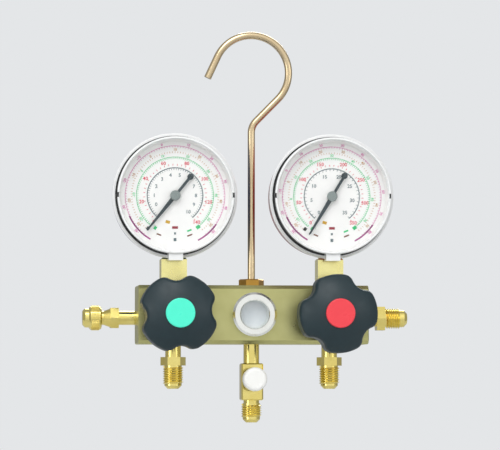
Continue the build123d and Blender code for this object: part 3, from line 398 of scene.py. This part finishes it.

# ---------------------------------------------------------------- sight glass
# A nickel-plated ring screws a thick round glass down on its seal.  The glass is pressed, and its
# pale milky tint is partly painted reflection of the bright surround, so that it shows pale over
# the dark chamber.

# Bright nickel over brass: a clean white metal whose reflections the turning marks soften.
nickel = machined_metal("nickel_plated_ring", "#FBFCF8", "#EAEBE5", 0.22, (0.2, 3, 0.2), 0.003)
dress(nickel, "sight_glass_ring")
dress(rubber, "sight_glass_seal")

# Pressed glass: a milky blue white, partly painted reflection of the surround, under a clear
# gloss, with slow ripples from the mould.
ripples_per_mm = 0.24
sight_glass = new_material("pressed_glass")
place = add_node(sight_glass, "ShaderNodeTexCoord").outputs["Object"]
ripple = add_node(
    sight_glass,
    "ShaderNodeTexNoise",
    {"Scale": 1000 * ripples_per_mm, "Detail": 1.0},
    {"Vector": place},
)
wavy = add_node(
    sight_glass,
    "ShaderNodeBump",
    {"Strength": 1.0, "Distance": 0.02 * MM},
    {"Height": ripple.outputs[0]},
)
milk_and_reflection = add_node(
    sight_glass,
    "ShaderNodeMix",
    {"data_type": "RGBA", 6: linear("#F2F7FA"), 7: linear("#DCE6EC")},
    {0: ripple.outputs[0]},
)
shader = add_node(
    sight_glass,
    "ShaderNodeBsdfPrincipled",
    {"Roughness": 0.12, "IOR": 1.5, "Transmission Weight": 0.15, "Coat Weight": 0.4},
    {"Base Color": milk_and_reflection.outputs[2], "Normal": wavy.outputs[0]},
)
add_node(sight_glass, "ShaderNodeOutputMaterial", {}, {"Surface": shader.outputs[0]})
dress(sight_glass, "sight_glass_lens")

# ---------------------------------------------------------------- hook
# Bent from hard-drawn wire and plated a pinkish yellow; drawing has left it smooth, with a
# soft sheen.  It turns in a hexagon bush of turned brass, which has dulled to a brown gold.
drawn_wire = machined_metal(
    "plated_drawn_wire", "#E2D0AC", "#CDB48C", 0.2, (0.3, 0.3, 0.3), 0.001
)
bush_brass = machined_metal(
    "dull_turned_brass", "#C89C50", "#AD8238", 0.28, (0.2, 0.2, 4), 0.006
)
dress(drawn_wire, "hook_wire")
dress(bush_brass, "hook_bush")

# ---------------------------------------------------------------- gauges
# Each gauge is a drawn steel case, painted blue or red, with a white enamelled bezel pushed into
# its mouth.  Behind the clear window are a white enamelled dial and a black pointer.
sides = ("low", "high")
pinion_low, pinion_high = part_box("high_pinion")
gauge_axis = (pinion_low + pinion_high) / 2
boss_radius = 2.8 * MM
bezel_low, bezel_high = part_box("high_gauge_bezel")
rim_radius = (bezel_high.x - bezel_low.x) / 2
side_wall_inside = rim_radius - 2.6 * MM
side_wall_outside = rim_radius - 1.5 * MM
side_wall_front = bezel_low.y + 0.55 * MM
side_wall_back = bezel_low.y + 8.1 * MM
tab_half_width = 4.0 * MM
notch_half_width = 1.33 * MM
notch_bottom = bezel_low.y + 1.65 * MM
dial_thickness = 0.5 * MM
ring_clearance = 0.1 * MM
ring_rim = 0.4 * MM
ring_foot = 1.4 * MM
ring_recess = 1.05 * MM
ring_crease = math.radians(30)
ring_steps = 180
window_gap = 0.2 * MM
foot_thickness = 0.08 * MM
dial_gap = 0.02 * MM
enamel_patches_per_mm = 0.12

# Baked gloss paint gives the cases deep, even colour with a clear highlight on the rounded
# edge.  The dials' white enamel is flatter, so that the figures read from any side, and the
# moulded ring round each dial is as white, with a soft gloss.
case_paint = {
    "low": plastic("blue_baked_paint", "#2E56A0", "#274A8C", 0.25, 0.9, 0.002, coat=0.6),
    "high": plastic("red_baked_paint", "#C9303E", "#B32734", 0.25, 0.9, 0.002, coat=0.6),
}
dial_enamel = plastic("white_dial_enamel", "#FCFCFA", "#F6F6F4", 0.45, 0.7, 0.002)
white_ring = plastic("white_moulded_ring", "#F8F8F6", "#F0F0EE", 0.4, 0.6, 0.002)

# The sockets are milled square from brass, in a paler copy of the brass colour: painted highlight
# for the light that their flat faces catch.  The tubes inside are drawn bronze, redder and dull.
socket_brass = machined_metal(
    "socket_brass_painted_highlight", "#FFF8B4", "#F8EB98", 0.24, (0.15, 0.15, 4), 0.003
)
tube_bronze = machined_metal("drawn_bronze", "#C98F5A", "#AD7544", 0.3, (0.3, 0.3, 0.3), 0.004)

# Clear moulded polycarbonate: all but invisible, with a faint reflection of the lamps.
haze_per_mm = 0.06
window_glass = new_material("clear_window")
place = add_node(window_glass, "ShaderNodeTexCoord").outputs["Object"]
haze = add_node(
    window_glass,
    "ShaderNodeTexNoise",
    {"Scale": 1000 * haze_per_mm, "Detail": 2.0},
    {"Vector": place},
)
polish = add_node(
    window_glass,
    "ShaderNodeMapRange",
    {"From Min": 0.3, "From Max": 0.7, "To Min": 0.02, "To Max": 0.06},
    {"Value": haze.outputs[0]},
)
shader = add_node(
    window_glass,
    "ShaderNodeBsdfPrincipled",
    {"Base Color": linear("#FFFFFF"), "IOR": 1.45, "Transmission Weight": 1.0, "Alpha": 0.16},
    {"Roughness": polish.outputs[0]},
)
add_node(window_glass, "ShaderNodeOutputMaterial", {}, {"Surface": shader.outputs[0]})


def about_gauge(material):
    """A point's depth, its offset from the nearer gauge's axis and its radius about it."""
    place = add_node(material, "ShaderNodeTexCoord").outputs["Object"]
    apart = add_node(material, "ShaderNodeSeparateXYZ", {}, {0: place})
    aside = add_node(material, "ShaderNodeMath", {"operation": "ABSOLUTE"}, {0: apart.outputs[0]})
    folded = add_node(
        material, "ShaderNodeCombineXYZ", {}, {0: aside.outputs[0], 2: apart.outputs[2]}
    )
    offset = add_node(
        material,
        "ShaderNodeVectorMath",
        {"operation": "SUBTRACT", 1: (gauge_axis.x, 0, gauge_axis.z)},
        {0: folded.outputs[0]},
    )
    radius = add_node(
        material, "ShaderNodeVectorMath", {"operation": "LENGTH"}, {0: offset.outputs[0]}
    )
    return apart.outputs[1], offset.outputs[0], radius.outputs["Value"]


def add_pointer_paint():
    """Black paint with a dull sheen on the blade; the boss on the shaft is a plain grey."""
    material = new_material("black_painted_pointer")
    place = add_node(material, "ShaderNodeTexCoord").outputs["Object"]
    radius = about_gauge(material)[2]
    boss = add_node(
        material, "ShaderNodeMath", {"operation": "LESS_THAN", 1: boss_radius}, {0: radius}
    )
    mottle = add_node(
        material,
        "ShaderNodeTexNoise",
        {"Scale": 1000 * mottles_per_mm, "Detail": 5.0},
        {"Vector": place},
    )
    paint = add_node(
        material,
        "ShaderNodeMix",
        {"data_type": "RGBA", 6: linear("#39464A"), 7: linear("#2F3B3F")},
        {0: mottle.outputs[0]},
    )
    colour = add_node(
        material,
        "ShaderNodeMix",
        {"data_type": "RGBA", 7: linear("#86918F")},
        {0: boss.outputs[0], 6: paint.outputs[2]},
    )
    roughness = add_node(
        material,
        "ShaderNodeMapRange",
        {"From Min": 0.3, "From Max": 0.7, "To Min": 0.3, "To Max": 0.45},
        {"Value": mottle.outputs[0]},
    )
    shader = add_node(
        material,
        "ShaderNodeBsdfPrincipled",
        {"IOR": 1.5},
        {"Base Color": colour.outputs[2], "Roughness": roughness.outputs[0]},
    )
    add_node(material, "ShaderNodeOutputMaterial", {}, {"Surface": shader.outputs[0]})
    return material


def add_bezel_enamel():
    """White enamel, with painted shade in near black on the barrel's side wall and two notches."""
    material = new_material("white_enamelled_rim")
    place = add_node(material, "ShaderNodeTexCoord").outputs["Object"]
    depth, offset, radius = about_gauge(material)
    distance = add_node(material, "ShaderNodeVectorMath", {"operation": "ABSOLUTE"}, {0: offset})
    either_way = add_node(material, "ShaderNodeSeparateXYZ", {}, {0: distance.outputs[0]})
    one_way = add_node(material, "ShaderNodeSeparateXYZ", {}, {0: offset})
    zones = {}
    for zone, operation, measure, limit in (
        ("within", "LESS_THAN", radius, side_wall_outside),
        ("without", "GREATER_THAN", radius, side_wall_inside),
        ("before", "LESS_THAN", depth, side_wall_back),
        ("behind", "GREATER_THAN", depth, side_wall_front),
        ("off_tab", "GREATER_THAN", either_way.outputs[0], tab_half_width),
        ("above", "GREATER_THAN", one_way.outputs[2], 0.0),
        ("level", "LESS_THAN", either_way.outputs[2], notch_half_width),
        ("shallow", "LESS_THAN", depth, notch_bottom),
    ):
        settings = {"operation": operation, 1: limit}
        zones[zone] = add_node(material, "ShaderNodeMath", settings, {0: measure}).outputs[0]
    for zone, operation, first, second in (
        ("barrel", "MULTIPLY", "within", "without"),
        ("band", "MULTIPLY", "before", "behind"),
        ("clear_of_tab", "MAXIMUM", "off_tab", "above"),
        ("barrel", "MULTIPLY", "barrel", "band"),
        ("side_wall", "MULTIPLY", "barrel", "clear_of_tab"),
        ("notch", "MULTIPLY", "level", "shallow"),
        ("black", "MAXIMUM", "side_wall", "notch"),
    ):
        links = {0: zones[first], 1: zones[second]}
        settings = {"operation": operation}
        zones[zone] = add_node(material, "ShaderNodeMath", settings, links).outputs[0]
    patches = add_node(
        material,
        "ShaderNodeTexNoise",
        {"Scale": 1000 * enamel_patches_per_mm, "Detail": 4.0},
        {"Vector": place},
    )
    enamel = add_node(
        material,
        "ShaderNodeMix",
        {"data_type": "RGBA", 6: linear("#FAFBFB"), 7: linear("#F3F5F5")},
        {0: patches.outputs[0]},
    )
    # The near black on the barrel's side wall and in the notches is painted shade, not enamel.
    colour = add_node(
        material,
        "ShaderNodeMix",
        {"data_type": "RGBA", 7: linear("#0E1214")},
        {0: zones["black"], 6: enamel.outputs[2]},
    )
    roughness = add_node(
        material,
        "ShaderNodeMapRange",
        {"From Min": 0.3, "From Max": 0.7, "To Min": 0.2, "To Max": 0.3},
        {"Value": patches.outputs[0]},
    )
    shader = add_node(
        material,
        "ShaderNodeBsdfPrincipled",
        {"IOR": 1.5, "Coat Weight": 0.5, "Coat Roughness": 0.08},
        {"Base Color": colour.outputs[2], "Roughness": roughness.outputs[0]},
    )
    add_node(material, "ShaderNodeOutputMaterial", {}, {"Surface": shader.outputs[0]})
    return material


pointer_paint = add_pointer_paint()
bezel_enamel = add_bezel_enamel()


def dial_ring(side):
    """The white ring between dial and window: a small section turned round the gauge's axis."""
    dial_low, dial_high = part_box(f"{side}_gauge_dial")
    window_low, window_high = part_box(f"{side}_gauge_window")
    centre = (dial_low + dial_high) / 2
    foot = dial_high.y - dial_thickness - dial_gap
    outer = (window_high.x - window_low.x) / 2 - ring_clearance
    section = (
        (outer, dial_high.y),
        (outer, window_high.y + window_gap),
        (outer - ring_rim, window_high.y + window_gap),
        (outer - ring_foot, foot - foot_thickness),
        (outer - ring_foot, foot),
        (outer - ring_recess, foot),
        (outer - ring_recess, dial_high.y),
    )
    bpy.ops.object.select_all(action="DESELECT")
    bpy.ops.mesh.primitive_circle_add(vertices=len(section), fill_type="NGON")
    ring = bpy.context.object
    ring.name = ring.data.name = f"{side}_dial_ring"
    for vertex, (radius, depth) in zip(ring.data.vertices, section):
        vertex.co = (centre.x + radius, depth, centre.z)
    bpy.ops.object.mode_set(mode="EDIT")
    bpy.ops.mesh.select_all(action="SELECT")
    bpy.ops.mesh.delete(type="ONLY_FACE")
    bpy.ops.mesh.select_all(action="SELECT")
    bpy.ops.mesh.spin(steps=ring_steps, angle=2 * math.pi, center=centre, axis=(0, 1, 0))
    bpy.ops.mesh.select_all(action="SELECT")
    bpy.ops.mesh.remove_doubles(threshold=merge_distance)
    bpy.ops.mesh.normals_make_consistent(inside=False)
    bpy.ops.object.mode_set(mode="OBJECT")
    bpy.ops.object.shade_smooth_by_angle(angle=ring_crease)
    ring.data.materials.append(white_ring)
    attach(ring, "manifold")


for side in sides:
    dial_ring(side)
    dress(case_paint[side], f"{side}_gauge_case")
    dress(bezel_enamel, f"{side}_gauge_bezel")
    dress(window_glass, f"{side}_gauge_window")
    dress(dial_enamel, f"{side}_gauge_dial")
    dress(pointer_paint, f"{side}_pointer")
    dress(socket_brass, f"{side}_gauge_socket")
    dress(tube_bronze, f"{side}_bourdon_tube")
    dress(brass_forward, f"{side}_movement_frame", f"{side}_sector_gear", f"{side}_movement_link")
    dress(bare_steel, f"{side}_pinion")

# ---------------------------------------------------------------- dial printing
# The scales are screen-printed on the enamel: three rings of temperatures, a ring of red
# pressures, a grey inner ring and a few small marks below, each in its own flat ink.  The
# figures are plain numbers.  Sizes are in mm, and angles run up from the dial's right.  The
# cap height and the boldness are shares of the size of the font and of the figures.
ink_height = 0.05
scale_start, scale_end = 231.0, -51.0
span = (scale_start, scale_end)
strokes_per_figure = 5
cap_height = 0.7
boldness = 0.03


def ink(name, colour, shade):
    """Screen ink: flat colour, a little uneven, with a soft sheen."""
    return plastic(name, colour, shade, 0.5, 0.3, 0.001)


inks = {
    "magenta": ink("magenta_ink", "#DC6FB4", "#CF60A6"),
    "purple": ink("purple_ink", "#A83C8C", "#9A327F"),
    "ochre": ink("ochre_ink", "#C4925A", "#B5834B"),
    "green": ink("green_ink", "#45CF84", "#38C276"),
    "red": ink("red_ink", "#E03C55", "#D02E47"),
    "grey": ink("grey_ink", "#5E7378", "#53666B"),
    "yellow": ink("yellow_ink", "#D3A82E", "#C39A24"),
    "maroon": ink("maroon_ink", "#A43A48", "#95313E"),
    "black": ink("black_ink", "#23261F", "#1B1D18"),
    "brown": ink("brown_ink", "#7A4A34", "#6B3F2C"),
}


def dial_point(centre, radius, angle):
    """A point on the face of a dial; the angle runs counter-clockwise from its right."""
    swing = math.radians(angle)
    return centre + Vector((radius * MM * math.cos(swing), 0, radius * MM * math.sin(swing)))


def strokes(centre, radius, length, width, first, last, count):
    """A row of radial strokes: one is drawn and spun round the dial."""
    bpy.ops.object.select_all(action="DESELECT")
    bpy.ops.mesh.primitive_cube_add(
        size=1,
        location=dial_point(centre, radius, first),
        rotation=(0, -math.radians(first), 0),
        scale=(length * MM, ink_height * MM, width * MM),
    )
    row = bpy.context.object
    bpy.ops.object.transform_apply(location=True, rotation=True, scale=True)
    if count > 1:
        bpy.ops.object.mode_set(mode="EDIT")
        bpy.ops.mesh.select_all(action="SELECT")
        bpy.ops.mesh.spin(
            steps=count - 1,
            dupli=True,
            angle=math.radians(first - last),
            center=centre,
            axis=(0, -1, 0),
        )
        bpy.ops.object.mode_set(mode="OBJECT")
    return row


def figures(centre, radius, height, first, last, texts, follow):
    """A row of numbers, upright or turned to follow the scale."""
    row = []
    for index, text in enumerate(texts):
        angle = first + (last - first) * index / (len(texts) - 1)
        bpy.ops.object.select_all(action="DESELECT")
        bpy.ops.object.text_add()
        figure = bpy.context.object
        figure.data.body = str(text)
        figure.data.size = height * MM / cap_height
        figure.data.align_x = "CENTER"
        figure.data.align_y = "CENTER"
        figure.data.extrude = ink_height * MM / 2
        figure.data.offset = boldness * height * MM
        figure.data.resolution_u = 2
        bpy.ops.object.convert(target="MESH")
        tilt = math.radians(90 - angle) if follow else 0.0
        figure.rotation_euler = Euler((math.pi / 2, tilt, 0), "XYZ")
        figure.location = dial_point(centre, radius, angle)
        bpy.ops.object.transform_apply(location=True, rotation=True, scale=True)
        row.append(figure)
    return row


def print_ink(side, colour, parts):
    """Joins what is printed in one ink."""
    bpy.ops.object.select_all(action="DESELECT")
    for part in parts:
        part.select_set(True)
    bpy.context.view_layer.objects.active = parts[0]
    if len(parts) > 1:
        bpy.ops.object.join()
    piece = bpy.context.object
    piece.name = piece.data.name = f"{side}_dial_{colour}_print"
    piece.data.materials.clear()
    piece.data.materials.append(inks[colour])
    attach(piece, "manifold")


# Rows of strokes: radius, stroke length and width, first and last angle, and how many.  The
# pressure rings have a number of strokes to each figure instead.
stroke_rows = {
    "magenta": ((27.2, 0.3, 0.5, *span, 240), (26.8, 0.9, 0.2, *span, 91)),
    "purple": ((27.3, 0.8, 0.55, 240, 205, 31), (27.3, 0.8, 0.55, 325, 298, 24)),
    "ochre": ((23.7, 0.9, 0.22, *span, 81),),
    "green": ((20.6, 1.1, 0.28, *span, 91), (21.1, 0.3, 0.5, *span, 190)),
    "red": ((16.9, 1.0, 0.28, *span, None),),
    "grey": ((15.2, 0.5, 0.42, *span, 200), (14.5, 1.0, 0.24, *span, None)),
}

# Rows of figures: radius, height, angle left free at each end, and whether they turn with it.
figure_rows = {
    "magenta": (28.5, 1.4, 8, True),
    "ochre": (25.1, 1.4, 12, True),
    "green": (22.4, 1.4, 16, True),
    "red": (18.6, 1.9, 0, False),
    "grey": (11.4, 1.9, 0, False),
}
scales = {
    "low": {
        "magenta": range(-40, 60, 10),
        "ochre": range(-30, 60, 10),
        "green": range(-20, 60, 10),
        "red": range(0, 160, 20),
        "grey": range(-1, 11),
    },
    "high": {
        "magenta": range(-30, 90, 10),
        "ochre": range(-20, 80, 10),
        "green": range(-10, 80, 10),
        "red": range(0, 400, 50),
        "grey": range(0, 40, 5),
    },
}

# Small blocks of ink under the scales: radius, height, width and angle.
marks = {
    "green": ((20.7, 1.9, 1.5, 238.5), (21.2, 1.9, 2.2, 306.4), (20.5, 0.9, 2.6, 292.3)),
    "grey": ((20.6, 1.2, 1.0, 270), (24.0, 1.7, 1.5, 270)),
    "yellow": ((14.9, 1.6, 2.4, 254.5),),
    "maroon": ((17.4, 1.4, 3.2, 270),),
    "black": ((23.2, 1.9, 1.7, 230.5),),
    "brown": ((23.0, 0.8, 2.6, 247.5), (23.0, 0.8, 2.9, 290.5)),
}
for side in sides:
    dial_low, dial_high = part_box(f"{side}_gauge_dial")
    pinion_low, pinion_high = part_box(f"{side}_pinion")
    centre = (pinion_low + pinion_high) / 2
    centre.y = dial_high.y - dial_thickness - ink_height * MM / 2
    for colour in inks:
        texts = scales[side].get(colour, ())
        printed = []
        for radius, length, width, first, last, count in stroke_rows.get(colour, ()):
            count = count or strokes_per_figure * (len(texts) - 1) + 1
            printed.append(strokes(centre, radius, length, width, first, last, count))
        if texts:
            radius, height, free, follow = figure_rows[colour]
            ends = (scale_start - free, scale_end + free)
            printed += figures(centre, radius, height, *ends, texts, follow)
        for radius, length, width, angle in marks.get(colour, ()):
            printed.append(strokes(centre, radius, length, width, angle, angle, 1))
        print_ink(side, colour, printed)

# ---------------------------------------------------------------- hand valves
# Bonnet and gland nut are turned brass, the stem is steel, and the packing PTFE, as white and
# matt as the acetal.  The knobs are moulded in black phenolic, which has a soft, slightly
# grained gloss.  Bright, smooth snap-in caps tell the low side from the high side.
phenolic = plastic("black_moulded_phenolic", "#152E35", "#10252B", 0.45, 0.7, 0.012)
cap_plastic = {
    "low": plastic("teal_cap_plastic", "#4BF6D3", "#42EDC9", 0.3, 0.6, 0.004, coat=0.3),
    "high": plastic("red_cap_plastic", "#F43C48", "#E83440", 0.3, 0.6, 0.004, coat=0.3),
}
for side in sides:
    dress(brass_forward, f"{side}_valve_bonnet", f"{side}_gland_nut", f"{side}_valve_plunger")
    dress(white_acetal, f"{side}_stem_packing")
    dress(bare_steel, f"{side}_valve_stem")
    dress(phenolic, f"{side}_knob")
    dress(cap_plastic[side], f"{side}_knob_cap")

# ---------------------------------------------------------------- studio
# A pale paper floor under the hanging set fades into a pale surround.  Four soft lamps: a key
# above the front, a fill at each side and one behind.  The camera is a little left of and
# below the middle of the set.
low, high = cad_box
middle = (low + high) / 2
floor_radius = 0.62
floor_drop = 0.03
fade_from, fade_to = 0.35 * floor_radius, 0.95 * floor_radius
fibres_per_mm = 0.3

floor_paper = new_material("pale_floor_paper")
place = add_node(floor_paper, "ShaderNodeTexCoord").outputs["Object"]
fibres = add_node(
    floor_paper,
    "ShaderNodeTexNoise",
    {"Scale": 1000 * fibres_per_mm, "Detail": 4.0},
    {"Vector": place},
)
paper = add_node(
    floor_paper,
    "ShaderNodeMix",
    {"data_type": "RGBA", 6: linear("#E2E4E6"), 7: linear("#DCDEE0")},
    {0: fibres.outputs[0]},
)
away = add_node(
    floor_paper, "ShaderNodeVectorMath", {"operation": "LENGTH"}, {0: place}
)
fade = add_node(
    floor_paper,
    "ShaderNodeMapRange",
    {"interpolation_type": "SMOOTHSTEP", "From Min": fade_from, "From Max": fade_to},
    {"Value": away.outputs["Value"]},
)
lit = add_node(
    floor_paper, "ShaderNodeBsdfPrincipled", {"Roughness": 0.9}, {"Base Color": paper.outputs[2]}
)
clear = add_node(floor_paper, "ShaderNodeBsdfTransparent")
blend = add_node(
    floor_paper,
    "ShaderNodeMixShader",
    {},
    {0: fade.outputs[0], 1: lit.outputs[0], 2: clear.outputs[0]},
)
add_node(floor_paper, "ShaderNodeOutputMaterial", {}, {"Surface": blend.outputs[0]})
bpy.ops.object.select_all(action="DESELECT")
bpy.ops.mesh.primitive_circle_add(vertices=96, radius=floor_radius, fill_type="NGON")
floor = bpy.context.object
floor.name = "floor"
floor.location.z = low.z - floor_drop
floor.data.materials.append(floor_paper)

# The surround shows as one pale grey, and metal mirrors it in part.  As light it is a room that
# is brightest in front and above, and dim at the sides, behind and below.
mirrored_share = 0.4
world = bpy.data.worlds.new("pale_surround")
bpy.context.scene.world = world
world.use_nodes = True
world.node_tree.nodes.clear()
path = add_node(world, "ShaderNodeLightPath")
shown = add_node(
    world,
    "ShaderNodeMath",
    {"operation": "MAXIMUM"},
    {0: path.outputs["Is Camera Ray"], 1: path.outputs["Is Transmission Ray"]},
)
mirrored = add_node(
    world,
    "ShaderNodeMath",
    {"operation": "MULTIPLY", 1: mirrored_share},
    {0: path.outputs["Is Glossy Ray"]},
)
shown = add_node(
    world,
    "ShaderNodeMath",
    {"operation": "MAXIMUM"},
    {0: shown.outputs[0], 1: mirrored.outputs[0]},
)
around = add_node(world, "ShaderNodeTexCoord").outputs["Generated"]
towards = add_node(world, "ShaderNodeSeparateXYZ", {}, {0: around})
upwards = add_node(
    world,
    "ShaderNodeMapRange",
    {"From Min": -0.7, "From Max": 0.7, "To Min": 0.2, "To Max": 1.4},
    {"Value": towards.outputs[2]},
)
forwards = add_node(
    world,
    "ShaderNodeMapRange",
    {"From Min": 0.0, "From Max": -0.9, "To Min": 0.12, "To Max": 1.2},
    {"Value": towards.outputs[1]},
)
strength = add_node(
    world,
    "ShaderNodeMath",
    {"operation": "MULTIPLY"},
    {0: upwards.outputs[0], 1: forwards.outputs[0]},
)
room = add_node(
    world,
    "ShaderNodeBackground",
    {"Color": linear("#FFFFFF")},
    {"Strength": strength.outputs[0]},
)
surround = add_node(world, "ShaderNodeBackground", {"Color": linear("#E4E6E8"), "Strength": 1.0})
mixed = add_node(
    world,
    "ShaderNodeMixShader",
    {},
    {0: shown.outputs[0], 1: room.outputs[0], 2: surround.outputs[0]},
)
add_node(world, "ShaderNodeOutputWorld", {}, {"Surface": mixed.outputs[0]})


def soft_lamp(name, place, size, power):
    """A square softbox, with its power in watts, that faces the middle of the set."""
    bpy.ops.object.light_add(type="AREA", location=place)
    lamp = bpy.context.object
    lamp.name = name
    lamp.data.size = size
    lamp.data.energy = power
    lamp.rotation_euler = (middle - Vector(place)).to_track_quat("-Z", "Y").to_euler()


soft_lamp("key_softbox", (-0.3, -0.75, 0.7), 0.6, 3.8)
soft_lamp("left_fill", (-1.1, -0.7, 0.0), 0.5, 1.8)
soft_lamp("right_fill", (1.1, -0.9, 0.1), 0.5, 1.2)
soft_lamp("back_softbox", (0.3, 1.0, 0.7), 0.8, 8.0)

camera_offset = Vector((-0.191, -1.85, -0.095))
frame_width = 0.272
sensor_width = 36.0
bpy.ops.object.camera_add(location=middle + camera_offset)
camera = bpy.context.object
camera.rotation_euler = (-camera_offset).to_track_quat("-Z", "Y").to_euler()
camera.data.sensor_width = sensor_width
camera.data.lens = sensor_width * camera_offset.length / frame_width
bpy.context.scene.camera = camera
bpy.context.scene.view_settings.view_transform = "Standard"
